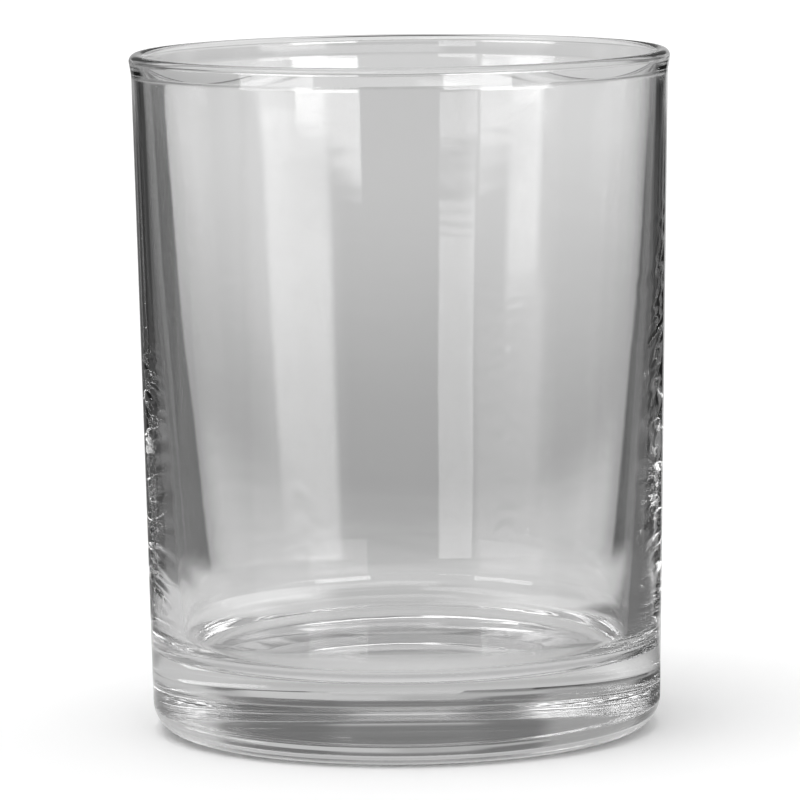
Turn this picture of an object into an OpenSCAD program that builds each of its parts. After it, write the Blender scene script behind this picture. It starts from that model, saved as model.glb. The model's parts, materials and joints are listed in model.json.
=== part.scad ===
// Heavy-base rocks glass, in millimetres, standing upright on z = 0 with its axis on Z.
// The real glass is one piece of soda-lime glass. Each module is one of the zones that a
// glassmaker names on a tumbler, and neighbouring zones meet face to face.

/* [Overall] */
// Height from the table to the top of the rim
glass_h = 105; // [85:1:125]
// Diameter across the outside of the rounded lip
rim_d = 83.2; // [74:0.2:95]

/* [Rim] */
// Thickness of the round, fire-polished bead along the rim
bead_d = 2.2; // [2:0.1:4]
// How far the bead stands out from the wall below it
bead_proud = 0.35; // [0:0.05:0.8]
// Height of the flared neck under the bead
rim_neck_h = 1; // [0.2:0.1:3]

/* [Wall] */
// Wall thickness where the wall meets the rim
wall_top_t = 1.8; // [1.2:0.1:3]
// Wall thickness where the wall meets the heel
wall_low_t = 4.7; // [3.5:0.1:7]
// How late the wall swells on its way down: 1 is a straight taper
wall_swell = 1.5; // [1:0.1:3]

/* [Base] */
// Outside diameter of the wall where the heel starts to round in
heel_d = 78.8; // [70:0.2:90]
// Radius of the rounded heel, which runs down to the table
heel_r = 4.75; // [3:0.25:6]
// Height of the inside floor above the table, at the floor's edge
floor_h = 12; // [8:0.5:22]
// How far the middle of the inside floor lies below its edge
floor_dish = 0.6; // [0.1:0.1:2]
// Radius between the inside floor and the wall
floor_fillet_r = 5; // [4:0.25:9]

/* [Foot] */
// Height of the ring that the glass stands on
foot_h = 0.5; // [0.3:0.05:1]
// Width of the flat on that ring, which touches the table
foot_w = 1.5; // [0.8:0.1:3]
// Height of the hollow under the middle of the base, above the table
push_up = 2.4; // [0.6:0.1:4]

/* [Hidden] */
$fn = 180;

// Points along the curve of the inside wall
wall_points = 14;
// The zones are tinted a little apart, so that the joints between them show
clear_glass = [0.86, 0.90, 0.90, 0.45];
thick_glass = [0.74, 0.80, 0.80, 0.55];

// Levels where one zone ends and the next begins
rim_joint_z = glass_h - bead_d - rim_neck_h;
heel_joint_z = floor_h + floor_fillet_r;

// Radii that the zones share
bead_mid_r = (rim_d - bead_d) / 2;
bead_mid_z = glass_h - bead_d / 2;
heel_mid_r = heel_d / 2 - heel_r;
floor_edge_r = wall_in(heel_joint_z) - floor_fillet_r;
foot_in_r = heel_mid_r - foot_w;
hollow_r = cap_r(foot_in_r, push_up);

// Outside radius of the wall: one straight taper from the heel to the rim
function wall_out(z) =
    let (rise = (z - heel_r) / (rim_joint_z - heel_r))
    heel_d / 2 + (rim_d / 2 - bead_proud - heel_d / 2) * rise;

// Wall thickness: thin at the rim, swelling towards the heavy base
function wall_t(z) =
    let (drop = max(0, (rim_joint_z - z) / (rim_joint_z - heel_joint_z)))
    wall_top_t + (wall_low_t - wall_top_t) * pow(drop, wall_swell);

function wall_in(z) = wall_out(z) - wall_t(z);

// Radius of the circle whose cap has this half width and rise
function cap_r(half_w, rise) = (half_w * half_w + rise * rise) / (2 * rise);

// Point where a straight line from p touches the bead, on its outside (1) or its inside (-1)
function bead_touch(p, side) =
    let (away = [p[0] - bead_mid_r, p[1] - bead_mid_z])
    let (turn = atan2(away[1], away[0]) + side * acos(bead_d / 2 / norm(away)))
    [bead_mid_r + bead_d / 2 * cos(turn), bead_mid_z + bead_d / 2 * sin(turn)];

// The fire-polished lip: a round bead that flares without a crease out of the wall
module rim_bead() {
    neck_in = [wall_in(rim_joint_z), rim_joint_z];
    neck_out = [wall_out(rim_joint_z), rim_joint_z];
    color(clear_glass)
    rotate_extrude() {
        translate([bead_mid_r, bead_mid_z]) circle(d = bead_d);
        polygon([
            neck_in,
            neck_out,
            bead_touch(neck_out, 1),
            [bead_mid_r, bead_mid_z],
            bead_touch(neck_in, -1),
        ]);
    }
}

// The tapered wall of the bowl: straight outside, swelling inside
module side_wall() {
    wall_step = (rim_joint_z - heel_joint_z) / wall_points;
    inside = [for (i = [0 : wall_points])
        let (z = rim_joint_z - i * wall_step) [wall_in(z), z]];
    color(clear_glass)
    rotate_extrude()
        polygon(concat(
            inside,
            [[wall_out(heel_joint_z), heel_joint_z], [wall_out(rim_joint_z), rim_joint_z]]
        ));
}

// The sphere that hollows the underside, in section
module hollow() {
    translate([0, push_up - hollow_r]) circle(r = hollow_r);
}

// The outside rounding of the heel, in section, filled in to the wall's line
module heel_round() {
    intersection() {
        translate([heel_mid_r, heel_r]) circle(r = heel_r);
        translate([heel_mid_r, 0]) square(heel_r);
    }
}

// The thick corner that joins the wall to the base, round outside and inside
module heel() {
    color(thick_glass)
    rotate_extrude()
        difference() {
            union() {
                polygon([
                    [floor_edge_r, 0],
                    [heel_mid_r, 0],
                    [heel_mid_r, heel_r],
                    [heel_d / 2, heel_r],
                    [wall_out(heel_joint_z), heel_joint_z],
                    [floor_edge_r, heel_joint_z],
                ]);
                heel_round();
            }
            translate([floor_edge_r, heel_joint_z]) circle(r = floor_fillet_r);
            translate([foot_in_r, 0]) square([foot_w + heel_r, foot_h]);
            hollow();
        }
}

// The heavy bottom inside the heel: dished floor above, hollow below
module base_disc() {
    floor_r = cap_r(floor_edge_r, floor_dish);
    color(thick_glass)
    rotate_extrude()
        difference() {
            square([floor_edge_r, floor_h]);
            translate([0, floor_h - floor_dish + floor_r]) circle(r = floor_r);
            hollow();
        }
}

// The narrow ring that touches the table: flat below, rounded outside like the heel
module foot_ring() {
    color(clear_glass)
    rotate_extrude()
        intersection() {
            translate([foot_in_r, 0]) square([foot_w + heel_r, foot_h]);
            union() {
                translate([foot_in_r, 0]) square([foot_w, foot_h]);
                heel_round();
            }
        }
}

rim_bead();
side_wall();
heel();
base_disc();
foot_ring();
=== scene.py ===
import bmesh
import bpy
import json
import math
from mathutils import Matrix, Vector, noise

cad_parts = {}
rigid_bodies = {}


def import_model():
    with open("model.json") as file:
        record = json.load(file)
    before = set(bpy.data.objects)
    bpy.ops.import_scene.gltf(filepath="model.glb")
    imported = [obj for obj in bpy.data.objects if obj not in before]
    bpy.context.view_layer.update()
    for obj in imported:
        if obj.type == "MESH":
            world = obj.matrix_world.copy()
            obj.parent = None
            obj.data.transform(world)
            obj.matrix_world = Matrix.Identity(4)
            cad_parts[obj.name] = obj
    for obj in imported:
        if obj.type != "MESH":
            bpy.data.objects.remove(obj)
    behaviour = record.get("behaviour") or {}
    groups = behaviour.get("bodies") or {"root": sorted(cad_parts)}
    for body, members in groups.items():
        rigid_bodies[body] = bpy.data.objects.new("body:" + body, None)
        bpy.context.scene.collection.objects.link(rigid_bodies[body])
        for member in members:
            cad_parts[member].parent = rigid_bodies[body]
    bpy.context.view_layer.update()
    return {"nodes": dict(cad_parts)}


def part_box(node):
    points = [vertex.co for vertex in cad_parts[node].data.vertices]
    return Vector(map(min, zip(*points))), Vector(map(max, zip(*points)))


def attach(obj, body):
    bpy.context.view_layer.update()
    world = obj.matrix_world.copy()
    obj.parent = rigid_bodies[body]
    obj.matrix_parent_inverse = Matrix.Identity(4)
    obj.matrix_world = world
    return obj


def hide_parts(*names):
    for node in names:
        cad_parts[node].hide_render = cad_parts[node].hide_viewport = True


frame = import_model()
print("frame loaded:", ", ".join(sorted(frame["nodes"])))


def linearColour(hexColour):
    # sRGB hex to the linear values that shaders take
    channels = [int(hexColour[i:i + 2], 16) / 255 for i in (1, 3, 5)]
    return [c / 12.92 if c <= 0.04045 else ((c + 0.055) / 1.055) ** 2.4 for c in channels] + [1.0]


def addNode(tree, kind, settings, links):
    # settings are properties or input values, links give the socket that feeds an input
    node = tree.nodes.new(kind)
    for key, value in settings.items():
        if isinstance(key, str) and key not in node.inputs:
            setattr(node, key, value)
        else:
            node.inputs[key].default_value = value
    for key, socket in links.items():
        tree.links.new(socket, node.inputs[key])
    return node


def newMaterial(name):
    material = bpy.data.materials.new(name)
    material.use_nodes = True
    material.node_tree.nodes.clear()
    return material


def meshObject(name, bm, material):
    mesh = bpy.data.meshes.new(name)
    bm.to_mesh(mesh)
    bm.free()
    mesh.materials.append(material)
    mesh.shade_smooth()
    piece = bpy.data.objects.new(name, mesh)
    bpy.context.scene.collection.objects.link(piece)
    return piece


# Glass body, one seamless piece: sizes in metres
glassBody = {
    "beadThick": 0.0022,
    "neckBlend": 0.0005,      # rounding where the wall starts to flare into the bead
    "wallTop": 0.0018,
    "wallLow": 0.0047,
    "wallSwell": 1.5,         # how late the wall thickens on its way down: 1 is a straight taper
    "heelRadius": 0.00475,
    "floorDish": 0.0006,
    "hollowRise": 0.0024,
    "footWidth": 0.0015,
    "footBlend": 0.0006,      # rounding between the flat of the foot and the hollow

    # how finely it is divided
    "outsideRows": 8,
    "insideRows": 190,        # close enough to carry the ripples
    "hollowSteps": 24,
    "heelSteps": 20,
    "beadSteps": 32,
    "filletSteps": 16,
    "dishSteps": 16,
    "blendSteps": 4,
    "spinSteps": 288,
    "mergeGap": 0.000001,

    # unevenness of the inside wall
    "waveHeight": 0.00006,    # long waves left by the blowing, all over the inside wall
    "wavePitch": 0.026,
    "lineHeight": 0.000002,   # faint level lines, all over it too
    "rippleHeight": 0.00005,  # short ripples, nearly level, in two patches of the inside wall
    "ripplePitch": 0.0017,
    "rippleLength": 0.024,
    "rippleDrift": 2.4,       # how far a ripple wanders up and down, in pitches
    "driftPitch": 0.016,
    "rippleGather": 0.006,    # how far apart strong and weak ripples lie
    "gatherMiddle": 0.7,      # a ripple's strength: the usual one,
    "gatherSwing": 1.2,       # how far it swings to either side,
    "gatherLeast": 0.1,       # and the weakest
    "ripplePatches": [
        {"turn": -12, "rise": (0.010, 0.085)},
        {"turn": 192, "rise": (0.008, 0.066)},
    ],
    "patchWidth": 16,         # degrees to either side
    "patchSoft": 0.012,
    "floorFade": 0.005,       # where the unevenness dies out above the floor and below the rim
    "rimFade": 0.008,

    # the glass itself
    "tint": "#F9F9F9",
    "ior": 1.52,
    "depthTint": "#BCBCBC",
    "depthDensity": 6.0,
    "smudgeScale": 70.0,      # about 14 mm across, like the marks of fingers and a cloth
    "smudgeFrom": 0.5,
    "smudgeTo": 0.8,
    "smudgeRough": 0.03,
}


def lineTo(bm, vert, x, z):
    grown = bmesh.ops.extrude_vert_indiv(bm, verts=[vert])["verts"][0]
    grown.co = (x, 0, z)
    return grown


def arcTo(bm, vert, centreX, centreZ, degrees, steps):
    swept = bmesh.ops.spin(
        bm, geom=[vert], cent=(centreX, 0, centreZ), axis=(0, 1, 0), angle=math.radians(degrees),
        steps=steps)
    return [item for item in swept["geom_last"] if isinstance(item, bmesh.types.BMVert)][0]


def glassLevels(size):
    # radii and heights that the zones of the glass share, from the frame
    rimLow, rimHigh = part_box("rim_bead")
    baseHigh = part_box("base_disc")[1]
    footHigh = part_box("foot_ring")[1]
    heelRadius = size["heelRadius"]
    heelMid = footHigh.x - math.sqrt(heelRadius ** 2 - (heelRadius - footHigh.z) ** 2)
    return {
        "rimJoint": rimLow.z,
        "heelJoint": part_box("heel")[1].z,
        "heelTop": heelRadius,
        "heelMid": heelMid,
        "heelOut": heelMid + heelRadius,
        "floor": baseHigh.z,
        "floorEdge": baseHigh.x,
        "wallTopOut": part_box("side_wall")[1].x,
        "beadX": rimHigh.x - size["beadThick"] / 2,
        "beadZ": rimHigh.z - size["beadThick"] / 2,
    }


def wallOut(level, z):
    rise = (z - level["heelTop"]) / (level["rimJoint"] - level["heelTop"])
    return level["heelOut"] + (level["wallTopOut"] - level["heelOut"]) * rise


def wallDrop(level, z):
    # 0 at the rim, 1 where the wall meets the heel
    return min(1.0, max(0.0, (level["rimJoint"] - z) / (level["rimJoint"] - level["heelJoint"])))


def wallIn(size, level, z):
    swell = wallDrop(level, z) ** size["wallSwell"]
    thick = size["wallTop"] + (size["wallLow"] - size["wallTop"]) * swell
    return wallOut(level, z) - thick


def capRadius(halfWidth, rise):
    # radius of the circle whose cap has this half width and rise
    return (halfWidth ** 2 + rise ** 2) / (2 * rise)


def beadTouch(level, beadRadius, x, z, side):
    # turn on the bead's circle where a line from (x, z) touches it, outside (1) or inside (-1)
    apart = math.hypot(x - level["beadX"], z - level["beadZ"])
    return math.atan2(z - level["beadZ"], x - level["beadX"]) + side * math.acos(beadRadius / apart)


def glassProfile(bm, size, level):
    # half outline in the XZ plane: underside, foot, heel, wall, bead, inside wall, floor
    heelTop, heelJoint, rimJoint = level["heelTop"], level["heelJoint"], level["rimJoint"]
    beadX, beadZ, beadRadius = level["beadX"], level["beadZ"], size["beadThick"] / 2
    footIn = level["heelMid"] - size["footWidth"]
    hollowRadius = capRadius(footIn, size["hollowRise"])
    dishRadius = capRadius(level["floorEdge"], size["floorDish"])
    hollowTurn = math.degrees(math.asin(footIn / hollowRadius))
    dishTurn = math.degrees(math.asin(level["floorEdge"] / dishRadius))

    neckOut, neckIn = wallOut(level, rimJoint), wallIn(size, level, rimJoint)
    outTurn = beadTouch(level, beadRadius, neckOut, rimJoint, 1)
    inTurn = beadTouch(level, beadRadius, neckIn, rimJoint, -1)
    beadTurn = math.degrees(outTurn - inTurn) - 360

    vert = bmesh.ops.create_vert(bm, co=(0, 0, size["hollowRise"]))["vert"][0]
    footCrease = arcTo(
        bm, vert, 0, size["hollowRise"] - hollowRadius, hollowTurn, size["hollowSteps"])
    vert = lineTo(bm, footCrease, level["heelMid"], 0)
    vert = arcTo(bm, vert, level["heelMid"], heelTop, -90, size["heelSteps"])
    for i in range(1, size["outsideRows"] + 1):
        z = heelTop + (rimJoint - heelTop) * i / size["outsideRows"]
        vert = lineTo(bm, vert, wallOut(level, z), z)
    outCrease = vert
    touchX, touchZ = beadX + beadRadius * math.cos(outTurn), beadZ + beadRadius * math.sin(outTurn)
    vert = lineTo(bm, vert, touchX, touchZ)
    vert = arcTo(bm, vert, beadX, beadZ, beadTurn, size["beadSteps"])
    inCrease = vert = lineTo(bm, vert, neckIn, rimJoint)
    for i in range(1, size["insideRows"] + 1):
        z = rimJoint - (rimJoint - heelJoint) * i / size["insideRows"]
        vert = lineTo(bm, vert, wallIn(size, level, z), z)
    vert = arcTo(bm, vert, level["floorEdge"], heelJoint, 90, size["filletSteps"])
    arcTo(bm, vert, 0, level["floor"] - size["floorDish"] + dishRadius, dishTurn, size["dishSteps"])

    for creases, blend in (([footCrease], "footBlend"), ([outCrease, inCrease], "neckBlend")):
        bmesh.ops.bevel(
            bm, geom=creases, affect="VERTICES", offset=size[blend], offset_type="OFFSET",
            segments=size["blendSteps"], profile=0.5, material=-1)


def blowUneven(bm, size, level):
    # long waves and short ripples on the inside of the wall, fading out at the rim and on the floor
    length, pitch = size["rippleLength"], size["ripplePitch"]
    for vert in bm.verts:
        x, y, z = vert.co
        radius = math.hypot(x, y)
        wallMiddle = (wallOut(level, z) + wallIn(size, level, z)) / 2
        if not level["floor"] < z < level["rimJoint"] or radius > wallMiddle:
            continue
        aboveFloor, belowRim = z - level["floor"], level["rimJoint"] - z
        fade = min(1.0, aboveFloor / size["floorFade"], belowRim / size["rimFade"])
        drift = size["rippleDrift"] * noise.noise(vert.co / size["driftPitch"])
        where = Vector((x / length, y / length, z / pitch + drift))
        wave = size["waveHeight"] * noise.noise(vert.co / size["wavePitch"])
        push = wave + size["lineHeight"] * noise.noise(where)
        swing = size["gatherSwing"] * noise.noise(vert.co / size["rippleGather"])
        gather = max(size["gatherLeast"], size["gatherMiddle"] + swing)
        for patch in size["ripplePatches"]:
            inset = min(z - patch["rise"][0], patch["rise"][1] - z) / size["patchSoft"]
            apart = (math.degrees(math.atan2(y, x)) - patch["turn"] + 180) % 360 - 180
            middle = max(0.0, 1 - (apart / size["patchWidth"]) ** 2) ** 2
            strength = middle * min(1.0, max(0.0, inset))
            push += size["rippleHeight"] * noise.noise(where) * strength * gather
        vert.co += Vector((x, y, 0)) / radius * push * fade


def makeGlassBody(size, material):
    level = glassLevels(size)
    bm = bmesh.new()
    glassProfile(bm, size, level)
    bmesh.ops.spin(
        bm, geom=bm.verts[:] + bm.edges[:], cent=(0, 0, 0), axis=(0, 0, 1), angle=2 * math.pi,
        steps=size["spinSteps"], use_merge=True)
    bmesh.ops.remove_doubles(bm, verts=bm.verts[:], dist=size["mergeGap"])
    bmesh.ops.recalc_face_normals(bm, faces=bm.faces[:])
    blowUneven(bm, size, level)
    return meshObject("glass_body", bm, material)


def clearGlass(size):
    # soda-lime glass, fire-polished: clear and glossy, greyer where the light goes a long way through it
    material = newMaterial("clear_soda_lime_glass")
    tree = material.node_tree
    place = addNode(tree, "ShaderNodeTexCoord", {}, {})
    smudge = addNode(tree, "ShaderNodeTexNoise", {
        "Scale": size["smudgeScale"], "Detail": 3.0, "Roughness": 0.6,
    }, {"Vector": place.outputs["Object"]})
    rough = addNode(tree, "ShaderNodeMapRange", {
        "From Min": size["smudgeFrom"], "From Max": size["smudgeTo"],
        "To Min": 0.0, "To Max": size["smudgeRough"],
    }, {"Value": smudge.outputs["Fac"]})
    shader = addNode(tree, "ShaderNodeBsdfPrincipled", {
        "Base Color": linearColour(size["tint"]), "IOR": size["ior"], "Transmission Weight": 1.0,
    }, {"Roughness": rough.outputs["Result"]})
    depth = addNode(tree, "ShaderNodeVolumeAbsorption", {
        "Color": linearColour(size["depthTint"]), "Density": size["depthDensity"]}, {})
    addNode(tree, "ShaderNodeOutputMaterial", {}, {
        "Surface": shader.outputs["BSDF"], "Volume": depth.outputs["Volume"]})
    return material


body = makeGlassBody(glassBody, clearGlass(glassBody))
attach(body, "root")
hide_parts("rim_bead", "side_wall", "heel", "base_disc", "foot_ring")
print("glass body:", len(body.data.polygons), "faces")

# Camera: where the photograph was taken from, in metres and degrees
cameraPlace = {
    "away": 0.945,
    "height": 0.16517,
    "pitch": 6.897,
    "yaw": 0.031,
    "roll": -0.682,
    "lens": 276.84,           # millimetres, as is the sensor
    "sensor": 36,
    "sight": 100,             # far enough to see past the tent
}


def makeCamera(place):
    data = bpy.data.cameras.new("camera")
    data.lens = place["lens"]
    data.sensor_width = place["sensor"]
    data.clip_end = place["sight"]
    camera = bpy.data.objects.new("camera", data)
    bpy.context.scene.collection.objects.link(camera)
    stand = Matrix.Translation((0, -place["away"], place["height"]))
    turn = Matrix.Rotation(math.radians(place["yaw"]), 4, "Z")
    tilt = Matrix.Rotation(math.radians(90 - place["pitch"]), 4, "X")
    roll = Matrix.Rotation(math.radians(place["roll"]), 4, "Z")
    camera.matrix_world = stand @ turn @ tilt @ roll
    bpy.context.scene.camera = camera
    return camera


camera = makeCamera(cameraPlace)
print("camera placed")

# Studio tent round the glass. Degrees: turn 0 lies straight behind the glass and grows to the right,
# rise 0 is level. Each panel hangs in front of the ones before it. Soft is the blur of its sides, then
# of its ends, and spread is how far each side moves out with each degree down.
tent = {
    "radius": 20.0,
    "centreHeight": 0.0525,
    "sides": 96,
    "rings": 48,
    "glow": 0.55,
    "panels": [
        {"name": "ceiling", "turn": (-180, 180), "rise": (29, 200), "soft": (5, 6), "glow": 0.40},
        {"name": "back ceiling", "turn": (-36, 42), "rise": (41, 200), "soft": (4, 10), "glow": 0.98},
        {"name": "front overhead", "turn": (77, 287), "rise": (21, 48), "soft": (4, 2), "glow": 0.50},
        {"name": "front ceiling", "turn": (62, 176), "rise": (47, 200), "soft": (6, 3), "glow": 0.12},
        {"name": "zenith", "turn": (-180, 180), "rise": (59, 200), "soft": (5, 4), "glow": 0.26},
        {"name": "back zenith", "turn": (-40, 45), "rise": (56, 76), "soft": (5, 4), "glow": 0.52},
        {"name": "top light", "turn": (-180, 180), "rise": (74, 200), "soft": (5, 2), "glow": 0.95},
        {"name": "left overhead lamp", "turn": (-168, -88), "rise": (41, 60), "soft": (4, 2), "glow": 2.6},
        {"name": "front overhead lamp", "turn": (120, 200), "rise": (22, 40.5), "soft": (4, 1.5),
         "glow": 2.8},
        {"name": "table", "turn": (-180, 180), "rise": (-200, -14), "soft": (5, 3), "glow": 0.38},
        {"name": "table behind", "turn": (-48, 36), "rise": (-62, -13.5), "soft": (5, 1.5), "glow": 0.82},
        {"name": "near table", "turn": (-5, 5), "rise": (-200, -36), "soft": (2, 2), "glow": 0.05},
        {"name": "left wall", "turn": (-110, -31), "rise": (-20, 2), "soft": (2, 3), "glow": 0.13},
        {"name": "right wall", "turn": (31, 110), "rise": (-20, 2), "soft": (2, 3), "glow": 0.12},
        {"name": "left bounce", "turn": (-106, -63), "rise": (-9, 6), "soft": (2, 2), "glow": 0.48},
        {"name": "right bounce", "turn": (58, 128), "rise": (-9, 9), "soft": (12, 2), "glow": 1.2},
        {"name": "left flag", "turn": (-32.5, -19.5), "rise": (-19, 0), "soft": (1.2, 1.5), "glow": 0.03},
        {"name": "right flag", "turn": (15, 32), "rise": (-19, 0), "soft": (1.2, 1.5), "glow": 0.03},
        {"name": "left grey", "turn": (-20, -7), "rise": (-18, 0), "soft": (1, 1.5), "glow": 0.15},
        {"name": "left grey, top", "turn": (-20, -7), "rise": (-5.5, 0), "soft": (1, 2.5), "glow": 0.24},
        {"name": "back wall high", "turn": (-28, 36), "rise": (8, 24), "soft": (4, 2.5), "glow": 0.23},
        {"name": "left grey, high", "turn": (-28, -11), "rise": (4.8, 21), "soft": (3, 1.5), "glow": 0.19},
        {"name": "right grey, high", "turn": (11, 28), "rise": (6.5, 21), "soft": (3, 1.5), "glow": 0.17},
        {"name": "back wall", "turn": (-10, 30), "rise": (-1.5, 7), "soft": (8, 1), "glow": 0.54},
        {"name": "back wall, right", "turn": (2, 28), "rise": (-1.5, 6.5), "soft": (3, 1), "glow": 0.70},
        {"name": "back card", "turn": (-7.8, 11.2), "rise": (-13.4, 1), "soft": (0.35, 0.8),
         "glow": 0.43, "spread": 0.29},
        {"name": "card top", "turn": (-7.8, 11.2), "rise": (-8.5, 1), "soft": (0.35, 3),
         "glow": 0.72, "spread": 0.29},
        {"name": "card foot", "turn": (-6, 9), "rise": (-13.4, -11.1), "soft": (2, 0.8),
         "glow": 0.66, "spread": 0.29},
        {"name": "left light", "turn": (-60, -23), "rise": (1, 28), "soft": (3, 6), "glow": 0.40},
        {"name": "right light", "turn": (38, 90), "rise": (-4, 20), "soft": (5, 5), "glow": 0.62},
        {"name": "left dark", "turn": (-110, -56), "rise": (3, 26), "soft": (6, 2), "glow": 0.05},
        {"name": "behind camera", "turn": (150, 212), "rise": (-16, 16), "soft": (4, 1.5), "glow": 0.05},
        {"name": "right key, high", "turn": (130, 161), "rise": (-1.1, 12), "soft": (0.8, 0.25),
         "glow": 7.2},
        {"name": "right key, low", "turn": (112, 145.5), "rise": (-4.6, -1.1), "soft": (2.5, 1.1),
         "glow": 5.5},
        {"name": "left key, low", "turn": (-162, -144), "rise": (-4.6, -1.1), "soft": (0.8, 0.3),
         "glow": 4.6},
        {"name": "left key, high", "turn": (-142, -106), "rise": (-1.1, 12), "soft": (0.8, 0.25),
         "glow": 5.5},
        {"name": "left key, cloth", "turn": (-127, -110), "rise": (-3, -1), "soft": (3, 0.6),
         "glow": 5.5},
        {"name": "left key, side", "turn": (-142, -106), "rise": (-4.6, -2.8), "soft": (2.5, 1.1),
         "glow": 2.2},
    ],
}


def edgeMask(tree, apart, half, soft):
    # 1 nearer than half, 0 further off, with a soft edge
    return addNode(tree, "ShaderNodeMapRange", {
        "interpolation_type": "SMOOTHSTEP", "From Min": half - soft, "From Max": half + soft,
        "To Min": 1.0, "To Max": 0.0,
    }, {"Value": apart}).outputs["Result"]


def panelMask(tree, turn, reach, panel, way):
    # way names the panel's other span beside its turn: rise on the tent, away on the floor
    turnMid, turnHalf = sum(panel["turn"]) / 2, (panel["turn"][1] - panel["turn"][0]) / 2
    reachMid, reachHalf = sum(panel[way]) / 2, (panel[way][1] - panel[way][0]) / 2
    along = addNode(tree, "ShaderNodeMath", {"operation": "SUBTRACT", 1: reachMid}, {0: reach})
    along = addNode(tree, "ShaderNodeMath", {"operation": "ABSOLUTE"}, {0: along.outputs[0]})
    ends = edgeMask(tree, along.outputs[0], reachHalf, panel["soft"][1])
    if turnHalf >= 180:  # goes all the way round
        return ends
    across = addNode(tree, "ShaderNodeMath", {"operation": "SUBTRACT", 1: turnMid}, {0: turn})
    across = addNode(tree, "ShaderNodeMath", {"operation": "WRAP", 1: 180, 2: -180}, {
        0: across.outputs[0]})
    across = addNode(tree, "ShaderNodeMath", {"operation": "ABSOLUTE"}, {0: across.outputs[0]})
    if "spread" in panel:
        across = addNode(tree, "ShaderNodeMath", {"operation": "MULTIPLY_ADD", 1: panel["spread"]}, {
            0: reach, 2: across.outputs[0]})
    sides = edgeMask(tree, across.outputs[0], turnHalf, panel["soft"][0])
    return addNode(tree, "ShaderNodeMath", {"operation": "MULTIPLY"}, {0: ends, 1: sides}).outputs[0]


def panelGlow(tree, axes, reach, size, way):
    # glow of the panels, each laid over the ones before it
    turn = addNode(tree, "ShaderNodeMath", {"operation": "ARCTAN2"}, {
        0: axes.outputs["X"], 1: axes.outputs["Y"]})
    turn = addNode(tree, "ShaderNodeMath", {"operation": "DEGREES"}, {0: turn.outputs[0]}).outputs[0]
    glow = addNode(tree, "ShaderNodeValue", {}, {}).outputs[0]
    glow.default_value = size["glow"]
    for panel in size["panels"]:
        glow = addNode(tree, "ShaderNodeMix", {
            "label": panel["name"], "data_type": "FLOAT", "B": panel["glow"],
        }, {"Factor": panelMask(tree, turn, reach, panel, way), "A": glow}).outputs["Result"]
    return addNode(tree, "ShaderNodeEmission", {"Color": (1, 1, 1, 1)}, {"Strength": glow})


def tentGlow(size):
    # cloth and card panels in white, grey and black, lit from behind
    material = newMaterial("lit_studio_cloth")
    tree = material.node_tree
    place = addNode(tree, "ShaderNodeTexCoord", {}, {})
    axes = addNode(tree, "ShaderNodeSeparateXYZ", {}, {"Vector": place.outputs["Object"]})
    rise = addNode(tree, "ShaderNodeMath", {"operation": "DIVIDE", 1: size["radius"]}, {
        0: axes.outputs["Z"]})
    rise = addNode(tree, "ShaderNodeMath", {"operation": "ARCSINE"}, {0: rise.outputs[0]})
    rise = addNode(tree, "ShaderNodeMath", {"operation": "DEGREES"}, {0: rise.outputs[0]})
    shader = panelGlow(tree, axes, rise.outputs[0], size, "rise")
    addNode(tree, "ShaderNodeOutputMaterial", {}, {"Surface": shader.outputs["Emission"]})
    material.cycles.emission_sampling = "NONE"
    return material


def makeTent(size):
    bm = bmesh.new()
    bmesh.ops.create_uvsphere(
        bm, u_segments=size["sides"], v_segments=size["rings"], radius=size["radius"])
    cloth = meshObject("studio_tent", bm, tentGlow(size))
    cloth.location.z = size["centreHeight"]
    cloth.parent = camera  # the lights stay where they are when the glass is turned
    cloth.matrix_parent_inverse = camera.matrix_world.inverted()
    cloth.visible_camera = False  # only the glass sees it
    cloth.visible_diffuse = False
    cloth.visible_shadow = False
    return cloth


makeTent(tent)
print("tent hung:", len(tent["panels"]), "panels")

# Floor and room light
floorPlan = {
    "halfWidth": 30.0,
    "level": -0.00002,        # a hair below the foot, so that the two faces don't share a plane
    "colour": "#FBFBFB",
    "discRadius": 0.124,      # the part of the sheet that shows through the glass
    "discSoft": 0.012,
    "glow": 0.70,
    "panels": [               # light and shade on that part, in degrees and metres from the middle
        # painted light under the glass, a painted shadow under the foot and a painted lit ring round it
        {"name": "under the glass", "turn": (-180, 180), "away": (-0.018, 0.018), "soft": (5, 0.010),
         "glow": 0.82},
        {"name": "under the foot", "turn": (-180, 180), "away": (0.029, 0.036), "soft": (5, 0.002),
         "glow": 0.52},
        {"name": "round the foot", "turn": (-180, 180), "away": (0.036, 0.042), "soft": (5, 0.002),
         "glow": 0.64},
        {"name": "left, near", "turn": (-58, -28), "away": (0.042, 0.064), "soft": (6, 0.004),
         "glow": 0.86},
        {"name": "left, far", "turn": (-36, -12), "away": (0.056, 0.082), "soft": (6, 0.004),
         "glow": 0.92},
        {"name": "right, near", "turn": (18, 40), "away": (0.046, 0.060), "soft": (5, 0.004),
         "glow": 0.82},
        {"name": "straight behind", "turn": (-14, 8), "away": (0.040, 0.076), "soft": (5, 0.006),
         "glow": 0.60},
        {"name": "flag's shade on the left", "turn": (-80, -36), "away": (0.108, 0.2),
         "soft": (5, 0.006), "glow": 0.25},
        {"name": "flag's shade on the right", "turn": (42, 84), "away": (0.047, 0.2),
         "soft": (6, 0.003), "glow": 0.17},
    ],
    "roomGlow": 0.86,
    "sunStrength": 1.0,
    "sunAngle": 40,
    "sunTilt": (18, 0, -30),
    "bounces": 32,            # light runs round many times inside the heavy base
}


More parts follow.
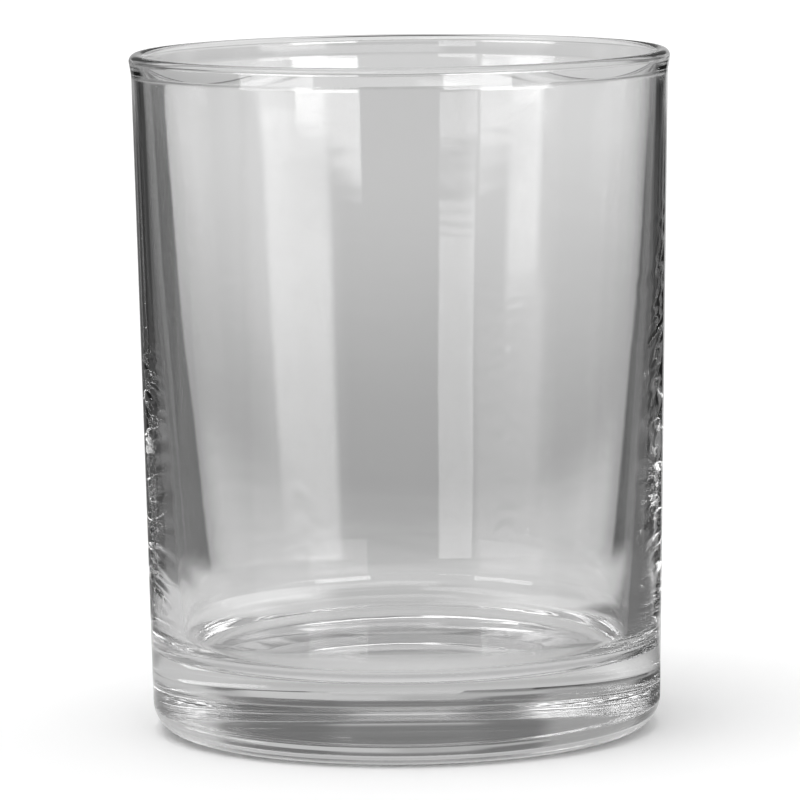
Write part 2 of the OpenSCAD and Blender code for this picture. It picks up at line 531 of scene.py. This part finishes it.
def paleFloor(size):
    # plain matt pale sheet: takes the glass's soft shadow. Near its foot, rays through the glass see a
    # disc that glows with painted light and shade instead of the sheet: a painted shadow under the foot, a
    # painted lit ring round it, lighter patches behind and painted flag shadows at the sides
    material = newMaterial("matt_pale_sheet")
    tree = material.node_tree
    sheet = addNode(tree, "ShaderNodeBsdfDiffuse", {"Color": linearColour(size["colour"])}, {})
    place = addNode(tree, "ShaderNodeTexCoord", {}, {})
    away = addNode(tree, "ShaderNodeVectorMath", {"operation": "LENGTH"}, {0: place.outputs["Object"]})
    near = edgeMask(tree, away.outputs["Value"], size["discRadius"], size["discSoft"])
    clear = addNode(tree, "ShaderNodeBsdfTransparent", {}, {})
    axes = addNode(tree, "ShaderNodeSeparateXYZ", {}, {"Vector": place.outputs["Object"]})
    # painted light and shade on the floor near the foot, seen only through the glass
    lit = panelGlow(tree, axes, away.outputs["Value"], size, "away")
    disc = addNode(tree, "ShaderNodeMixShader", {}, {
        0: near, 1: clear.outputs["BSDF"], 2: lit.outputs["Emission"]})
    light = addNode(tree, "ShaderNodeLightPath", {}, {})
    glassRay = addNode(tree, "ShaderNodeMath", {"operation": "MAXIMUM"}, {
        0: light.outputs["Is Transmission Ray"], 1: light.outputs["Is Glossy Ray"]})
    shader = addNode(tree, "ShaderNodeMixShader", {}, {
        0: glassRay.outputs[0], 1: sheet.outputs["BSDF"], 2: disc.outputs["Shader"]})
    addNode(tree, "ShaderNodeOutputMaterial", {}, {"Surface": shader.outputs["Shader"]})
    material.cycles.emission_sampling = "NONE"
    return material


def makeFloor(size):
    bm = bmesh.new()
    bmesh.ops.create_grid(bm, x_segments=1, y_segments=1, size=size["halfWidth"])
    floor = meshObject("floor", bm, paleFloor(size))
    floor.location.z = size["level"]


def makeOverheadLight(size):
    # soft light for the floor alone: the glass gets its light from the tent
    sun = bpy.data.lights.new("overhead_light", "SUN")
    sun.energy = size["sunStrength"]
    sun.angle = math.radians(size["sunAngle"])
    lamp = bpy.data.objects.new("overhead_light", sun)
    bpy.context.scene.collection.objects.link(lamp)
    lamp.rotation_euler = [math.radians(v) for v in size["sunTilt"]]
    lamp.visible_glossy = False
    lamp.visible_transmission = False


def stageWorld(size):
    # white behind everything for the camera, softer room light for the floor
    world = bpy.data.worlds.new("studio")
    world.use_nodes = True
    tree = world.node_tree
    tree.nodes.clear()
    light = addNode(tree, "ShaderNodeLightPath", {}, {})
    strength = addNode(tree, "ShaderNodeMapRange", {"To Min": size["roomGlow"], "To Max": 1.0}, {
        "Value": light.outputs["Is Camera Ray"]})
    shader = addNode(tree, "ShaderNodeBackground", {"Color": (1, 1, 1, 1)}, {
        "Strength": strength.outputs["Result"]})
    addNode(tree, "ShaderNodeOutputWorld", {}, {"Surface": shader.outputs["Background"]})
    bpy.context.scene.world = world


makeFloor(floorPlan)
makeOverheadLight(floorPlan)
stageWorld(floorPlan)
bpy.context.scene.view_settings.view_transform = "Standard"
bpy.context.scene.cycles.max_bounces = floorPlan["bounces"]
bpy.context.scene.cycles.transmission_bounces = floorPlan["bounces"]
bpy.context.scene.cycles.glossy_bounces = floorPlan["bounces"]
print("floor and light set")
